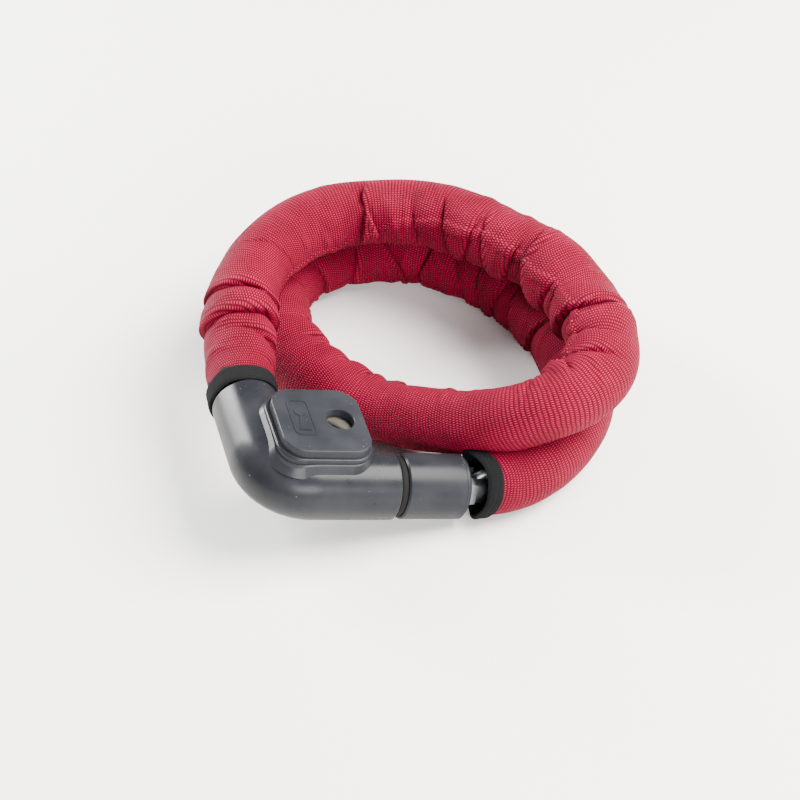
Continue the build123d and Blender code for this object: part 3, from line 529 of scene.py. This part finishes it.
def metal(name, colour, roughness):
    """Worn bare metal with fine random scratches and stains."""
    made = Shader(name, colour, roughness, 1.0)
    fine = made.noise(900.0, 2.0)
    stains = made.noise(140.0, 4.0)
    darker = tuple(0.55 * value for value in colour)
    made.base(made.colours(made.ramp(stains, 0.0, 0.8, 0.45, 0.75), colour, darker))
    made.rough(made.ramp(stains, roughness - 0.06, roughness + 0.14, 0.3, 0.7))
    made.bump(fine, 0.00003, 0.5)
    return made.material


YARN_ALONG = 1.74 * MM      # from one crosswise rib of the weave to the next
YARN_ROUND = 1.16 * MM      # from one bead of a rib to the next
YARN_DRIFT = 1.3 * MM       # how far a rib wanders in all
TAPE_RIB, TAPE_WEFT = 0.72 * MM, 0.55 * MM      # spacing of the tape's ribs and of the threads across them
# Pairs of shades that each material mixes.
CLOTH_SHADED = (0.018, 0.0001, 0.0020), (0.028, 0.0001, 0.0034)       # painted shade between the yarns
CLOTH_LIT = (0.270, 0.0008, 0.0255), (0.345, 0.0020, 0.0370)        # painted light on top of them
THREAD_SHADES = (0.05, 0.001, 0.004), (0.14, 0.004, 0.012)
TAPE_SHADES = (0.0018, 0.0018, 0.002), (0.013, 0.0135, 0.0145)
PAPER_SHADES = (0.87, 0.856, 0.83), (0.89, 0.875, 0.845)


def woven_cloth():
    """Coarse red plain weave in ribs round the sleeve, worked out from its UVs in metres, with painted shade
    between the yarns and painted light on their tops.
    """
    made = Shader("sleeve_cloth", (0.55, 0.04, 0.09), 0.72, Specular_IOR_Level=0.08)
    uv = made.node("ShaderNodeUVMap", uv_map="cloth").outputs[0]
    split = made.node("ShaderNodeSeparateXYZ")
    made.link(uv, split.inputs[0])
    wobble = made.node("ShaderNodeTexNoise", _Scale=90.0, _Detail=1.0)
    made.link(uv, wobble.inputs["Vector"])
    drift = made.math("MULTIPLY_ADD", wobble.outputs["Fac"], YARN_DRIFT, -YARN_DRIFT / 2)
    rows = made.math("DIVIDE", made.math("ADD", split.outputs[0], drift), YARN_ALONG)
    number = made.math("FLOOR", rows)
    across = made.math("SUBTRACT", rows, number)
    rib = made.math("SINE", made.math("MULTIPLY", across, math.pi))
    beads = made.math("DIVIDE", split.outputs[1], YARN_ROUND)
    offset = made.math("MULTIPLY", made.math("MODULO", number, 2.0), 0.5)
    phase = made.math("MULTIPLY", made.math("ADD", beads, offset), 2 * math.pi)
    bead = made.math("MULTIPLY_ADD", made.math("COSINE", phase), 0.5, 0.5)
    # The warp passes between the ribs, under every second bead.
    warp = made.math("MULTIPLY", made.math("SUBTRACT", 1.0, rib), made.math("SUBTRACT", 1.0, bead))
    height = made.math(
        "ADD", made.math("MULTIPLY", rib, made.math("MULTIPLY_ADD", bead, 0.78, 0.22)),
        made.math("MULTIPLY", warp, 0.42))
    fibres = made.node("ShaderNodeTexNoise", _Scale=5200.0, _Detail=2.0)
    made.link(uv, fibres.inputs["Vector"])
    tuned = made.math("MULTIPLY_ADD", fibres.outputs["Fac"], 0.30, made.math("SUBTRACT", height, 0.15))
    patches = made.ramp(made.noise(45.0, 3.0), 0.0, 1.0, 0.35, 0.65)
    shaded = made.colours(patches, *CLOTH_SHADED)
    lit = made.colours(patches, *CLOTH_LIT)
    # The weave's colour follows its height: painted shade in the low places between the yarns, painted light
    # on their tops.
    made.base(made.colours(made.ramp(tuned, 0.0, 1.0, 0.24, 0.80), shaded, lit))
    made.bump(tuned, 0.55 * MM, 1.0)
    return made.material


def sewing_thread():
    """Dark red thread of the seam, a little smoother than the cloth."""
    made = Shader("sewing_thread", (0.10, 0.002, 0.01), 0.6, Specular_IOR_Level=0.12)
    made.bump(made.noise(6000.0, 2.0), 0.00004)
    made.base(made.colours(made.ramp(made.noise(900.0), 0, 1, 0.3, 0.7), *THREAD_SHADES))
    return made.material


def ribbed_tape():
    """Black binding tape: fine ribs across its width, lighter on their tops and darker between them."""
    made = Shader("binding_tape", (0.02, 0.021, 0.023), 0.85, Specular_IOR_Level=0.06)
    uv = made.node("ShaderNodeUVMap", uv_map="cloth").outputs[0]
    split = made.node("ShaderNodeSeparateXYZ")
    made.link(uv, split.inputs[0])
    slant = made.math("MULTIPLY_ADD", split.outputs[0], 0.35, split.outputs[1])
    rib = made.math("SINE", made.math("MULTIPLY", slant, 2 * math.pi / TAPE_RIB))
    weft = made.math("SINE", made.math("MULTIPLY", split.outputs[0], 2 * math.pi / TAPE_WEFT))
    height = made.math("MULTIPLY_ADD", weft, 0.18, made.math("MULTIPLY_ADD", rib, 0.42, 0.5))
    fuzz = made.noise(2500.0, 3.0)
    mixed = made.math("MULTIPLY_ADD", fuzz, 0.5, made.math("SUBTRACT", height, 0.25))
    # The colour follows the ribs' height: lighter on their tops, darker between them.
    made.base(made.colours(made.ramp(mixed, 0.0, 1.0, 0.2, 0.9), *TAPE_SHADES))
    made.bump(mixed, 0.00016, 0.9)
    return made.material


# ---------------------------------------------------------------- sleeve pieces
cloth_material = woven_cloth()
thread_material = sewing_thread()
tape_material = ribbed_tape()


def sleeve_piece(name, rows):
    """The sleeve's mesh over a stretch of its rings, with its seam's stitches."""
    s, points = s_rings[rows], sleeve_points[rows]
    obj = mesh_object(name, points, tube_faces(len(s), SEGMENTS))
    add_uv(obj, s, SEGMENTS)
    obj.data.materials.append(cloth_material)
    obj.data.materials.append(thread_material)
    thread_points, thread_faces = stitches(s, points)
    thread = bpy.data.meshes.new(name + "_thread")
    thread.from_pydata([tuple(point) for point in thread_points], [], thread_faces)
    thread.polygons.foreach_set("material_index", [1] * len(thread.polygons))
    thread.shade_smooth()
    both = bmesh.new()
    both.from_mesh(obj.data)
    both.from_mesh(thread)
    both.to_mesh(obj.data)
    both.free()
    bpy.data.meshes.remove(thread)
    return obj


MOUTH_START, MOUTH_RAMP = 0.034, 0.030      # from the plug's end: where the mouth starts, and its climb
MOUTH_UP, MOUTH_OUT = 0.68, 0.73            # the way the mouth opens, up and away from the coil
MOUTH_GAPE, MOUTH_NIP = 6.3, 1.6            # mm pushed back where it opens, and forward at its sides
LOCK_TAPE, PLUG_TAPE = 10.4, 7.2            # widths of the binding tapes that show, mm
TAPE_RIBS = 144
TAPE_SEGMENTS = 3 * TAPE_RIBS
TAPE_RELIEF, TAPE_WAVE = 0.07, 0.16         # mm: height of a rib, and of each slow wave round the tape
LOWEST_TAPE = 0.2                           # mm above the floor


def turn_end_back(s, points):
    """Open the plug end's mouth: its upper outer side is pushed back from the plug."""
    centre, tangent, up, side = frames(s)
    away = (points - centre[:, None]) / SLEEVE_R
    gape = np.einsum("ijk,ik->ij", away, MOUTH_UP * up - MOUTH_OUT * side)
    amount = smoothstep((s - (LENGTH - MOUTH_START)) / MOUTH_RAMP)[:, None]
    nip = MOUTH_NIP * np.clip(1 - gape * gape, 0, 1)
    back = amount * (MOUTH_GAPE * np.clip(gape, 0, 1.1) ** 1.3 - nip) * MM
    return points - back[..., None] * tangent[:, None]


def band(name, starts, radii, slanted=False):
    """A ring of tape: closed profile of arc lengths and radii, turned round the centreline."""
    s = np.array(starts)
    angle = 2 * math.pi * np.arange(TAPE_SEGMENTS) / TAPE_SEGMENTS
    draw = np.random.default_rng(TAPE_SEED)
    waves = range(2, 7)
    wave = sum(draw.uniform(-TAPE_WAVE, TAPE_WAVE) * np.cos(k * angle + draw.uniform(0, 6)) for k in waves)
    ribs = TAPE_RELIEF * np.cos(TAPE_RIBS * angle)
    radius = (np.array(radii)[:, None] + wave + ribs) * MM
    inside = np.clip(s, 0, LENGTH)
    centre, tangent, up, side = frames(inside)
    centre = centre + (s - inside)[:, None] * tangent
    out = np.cos(angle)[None, :, None] * up[:, None] + np.sin(angle)[None, :, None] * side[:, None]
    points = centre[:, None] + radius[..., None] * out
    if slanted:
        points = turn_end_back(s, points)
    points[..., 2] = np.maximum(points[..., 2], LOWEST_TAPE * MM)
    # One ring of faces more than the profile has, wrapped round to its first ring, closes it.
    faces = tube_faces(len(s) + 1, TAPE_SEGMENTS) % (len(s) * TAPE_SEGMENTS)
    obj = mesh_object(name, points, faces)
    profile = np.r_[0, np.cumsum(np.hypot(np.diff(s), np.diff(np.array(radii) * MM)))]
    add_uv(obj, np.r_[profile, profile[-1] + 0.001], TAPE_SEGMENTS)
    obj.data.materials.append(tape_material)
    return obj


def folded_tape(width):
    """Distances from the sleeve's end and radii, in mm, of a tape folded over it: outside, lip, inside."""
    outside = [(1.0, 16.2), (1.01, 17.3), (0.93, 17.75), (0.78, 17.8), (0.57, 17.65), (0.35, 17.75)]
    lip = [(1.2, 17.6), (0.35, 17.2), (0.2, 16.5), (0.6, 15.8), (2, 15.5), (6, 15.4), (12, 15.5), (20, 15.6)]
    return np.array([(part * width, radius) for part, radius in outside] + lip)


sleeve_points = turn_end_back(s_rings, sleeve_points)
lock_sleeve = sleeve_piece("sleeve_by_the_lock", slice(0, cut + 1))
long_sleeve = sleeve_piece("sleeve_of_both_turns", slice(cut, RINGS))
lock_fold, plug_fold = folded_tape(LOCK_TAPE), folded_tape(PLUG_TAPE)
lock_tape = band("binding_by_the_lock", lock_fold[::-1, 0] * MM, lock_fold[::-1, 1])
plug_tape = band("binding_by_the_plug", LENGTH - plug_fold[:, 0] * MM, plug_fold[:, 1], slanted=True)


def follow_slide(obj):
    """Bake a piece's transform into its mesh."""
    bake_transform(obj)


follow_slide(lock_sleeve)
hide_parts("sleeve_lock_end")
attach(long_sleeve, "plug")
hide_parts("sleeve_high_turn", "sleeve_low_turn")
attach(lock_tape, "housing")
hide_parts("binding_lock_end")
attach(plug_tape, "plug")
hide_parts("binding_plug_end")

# Copies of the links inside the sleeve's first stretch, and of the latch's spring, with their transforms
# baked.
lock_links = bpy.data.objects.new("chain_links_by_the_lock", bpy.data.objects["chain_lock_end"].data.copy())
spring = bpy.data.objects.new("latch_return_spring", bpy.data.objects["latch_spring"].data.copy())
for obj in (lock_links, spring):
    bpy.context.collection.objects.link(obj)
follow_slide(lock_links)
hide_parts("chain_lock_end")
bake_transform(spring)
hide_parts("latch_spring")

# ---------------------------------------------------------------- materials of the CAD nodes
SHELL_COLOUR = (0.0095, 0.0102, 0.0128)
NODE_MATERIALS = {
    ("housing_shell",): plastic("shell_plastic", SHELL_COLOUR, 0.31),
    ("ferrule_shell",): plastic("ferrule_plastic", SHELL_COLOUR, 0.33, specks=0.2, shine=0.11),
    ("cover_plate",): plastic("cover_plastic", (0.0120, 0.0130, 0.0160), 0.37, shine=0.10),
    ("seal_ring",): plastic("seal_rubber", (0.002, 0.002, 0.002), 0.8, specks=0.05),
    ("core_body", "core_base_plate"): metal("core_metal", (0.42, 0.42, 0.44), 0.45),
    # The cylinder's body is made near black: painted shade on the walls inside the keyhole.
    ("cylinder_body",): metal("cylinder_metal_in_painted_shade", (0.06, 0.056, 0.045), 0.40),
    ("cylinder_rotor", "disc_detainers", "sidebar", "cylinder_cam", "latch_slider"):
        metal("rotor_metal", (0.26, 0.25, 0.21), 0.30),
    ("locking_bolt", "bolt_pin", "cam_cross_pin", "anchor_pin_lock", "anchor_pin_plug"):
        metal("bolt_steel", (0.62, 0.63, 0.65), 0.22),
    ("ferrule_core",): metal("neck_steel", (0.30, 0.31, 0.33), 0.33),
    ("cover_screws",): metal("screw_steel", (0.20, 0.20, 0.21), 0.38),
    ("chain", "end_link_lock", "end_link_plug"): metal("chain_steel", (0.25, 0.255, 0.27), 0.36),
}
for names, material in NODE_MATERIALS.items():
    for name in names:
        for slot in bpy.data.objects[name].material_slots:
            slot.material = material
# The copied links and the spring look like the rest of the chain.
chain_material = bpy.data.objects["chain"].material_slots[0].material
for obj in (lock_links, spring):
    obj.data.materials.clear()
    obj.data.materials.append(chain_material)


# ---------------------------------------------------------------- floor, lights, camera
LIGHTS_AIM = 0.03       # height that the lights are aimed at


def aimed(obj, place, target):
    """Put a light or camera at a place, looking at a target."""
    place, target = mathutils.Vector(place), mathutils.Vector(target)
    obj.location = place
    obj.rotation_euler = (target - place).to_track_quat("-Z", "Y").to_euler()
    bpy.context.collection.objects.link(obj)


def softbox(name, direction, distance, size, power, colour=(1, 1, 1)):
    """A rectangular area light in a direction from the object."""
    light = bpy.data.lights.new(name, "AREA")
    light.shape = "RECTANGLE"
    light.size, light.size_y = size
    light.energy = power
    light.color = colour
    length = math.sqrt(sum(value * value for value in direction))
    place = [distance * value / length for value in direction]
    aimed(bpy.data.objects.new(name, light), place, (0, 0, LIGHTS_AIM))


FLOOR_HALF = 4.0
floor_points = np.array([(-1, -1, 0), (1, -1, 0), (1, 1, 0), (-1, 1, 0)]) * FLOOR_HALF
floor = mesh_object("floor", floor_points, np.array([(0, 1, 2, 3)]))
paper = Shader("floor_paper", (0.88, 0.865, 0.835), 0.9)
paper.base(paper.colours(paper.ramp(paper.noise(2.0), 0, 1, 0.3, 0.7), *PAPER_SHADES))
floor.data.materials.append(paper.material)

world = bpy.data.worlds.new("studio")
world.use_nodes = True
sky = world.node_tree.nodes["Background"]
sky.inputs["Color"].default_value = (0.92, 0.96, 1.0, 1)
sky.inputs["Strength"].default_value = 0.58
bpy.context.scene.world = world
softbox("key", (0.82, 0.12, 1.0), 1.6, (1.2, 1.2), 165.0, (1.0, 0.97, 0.92))
softbox("front_fill", (0.30, -0.90, 0.46), 1.5, (1.0, 0.40), 38.0)
softbox("left_strip", (-0.78, 0.52, 0.38), 1.1, (0.25, 0.9), 44.0)

TARGET = np.array((-8.5, -3.5, 0)) * MM
ELEVATION, DISTANCE = math.radians(43), 1.02
camera = bpy.data.cameras.new("camera")
camera.lens = 87.5
camera.sensor_width = 36
camera_object = bpy.data.objects.new("camera", camera)
away = DISTANCE * np.array((0, -math.cos(ELEVATION), math.sin(ELEVATION)))
aimed(camera_object, TARGET + away, TARGET)
bpy.context.scene.camera = camera_object
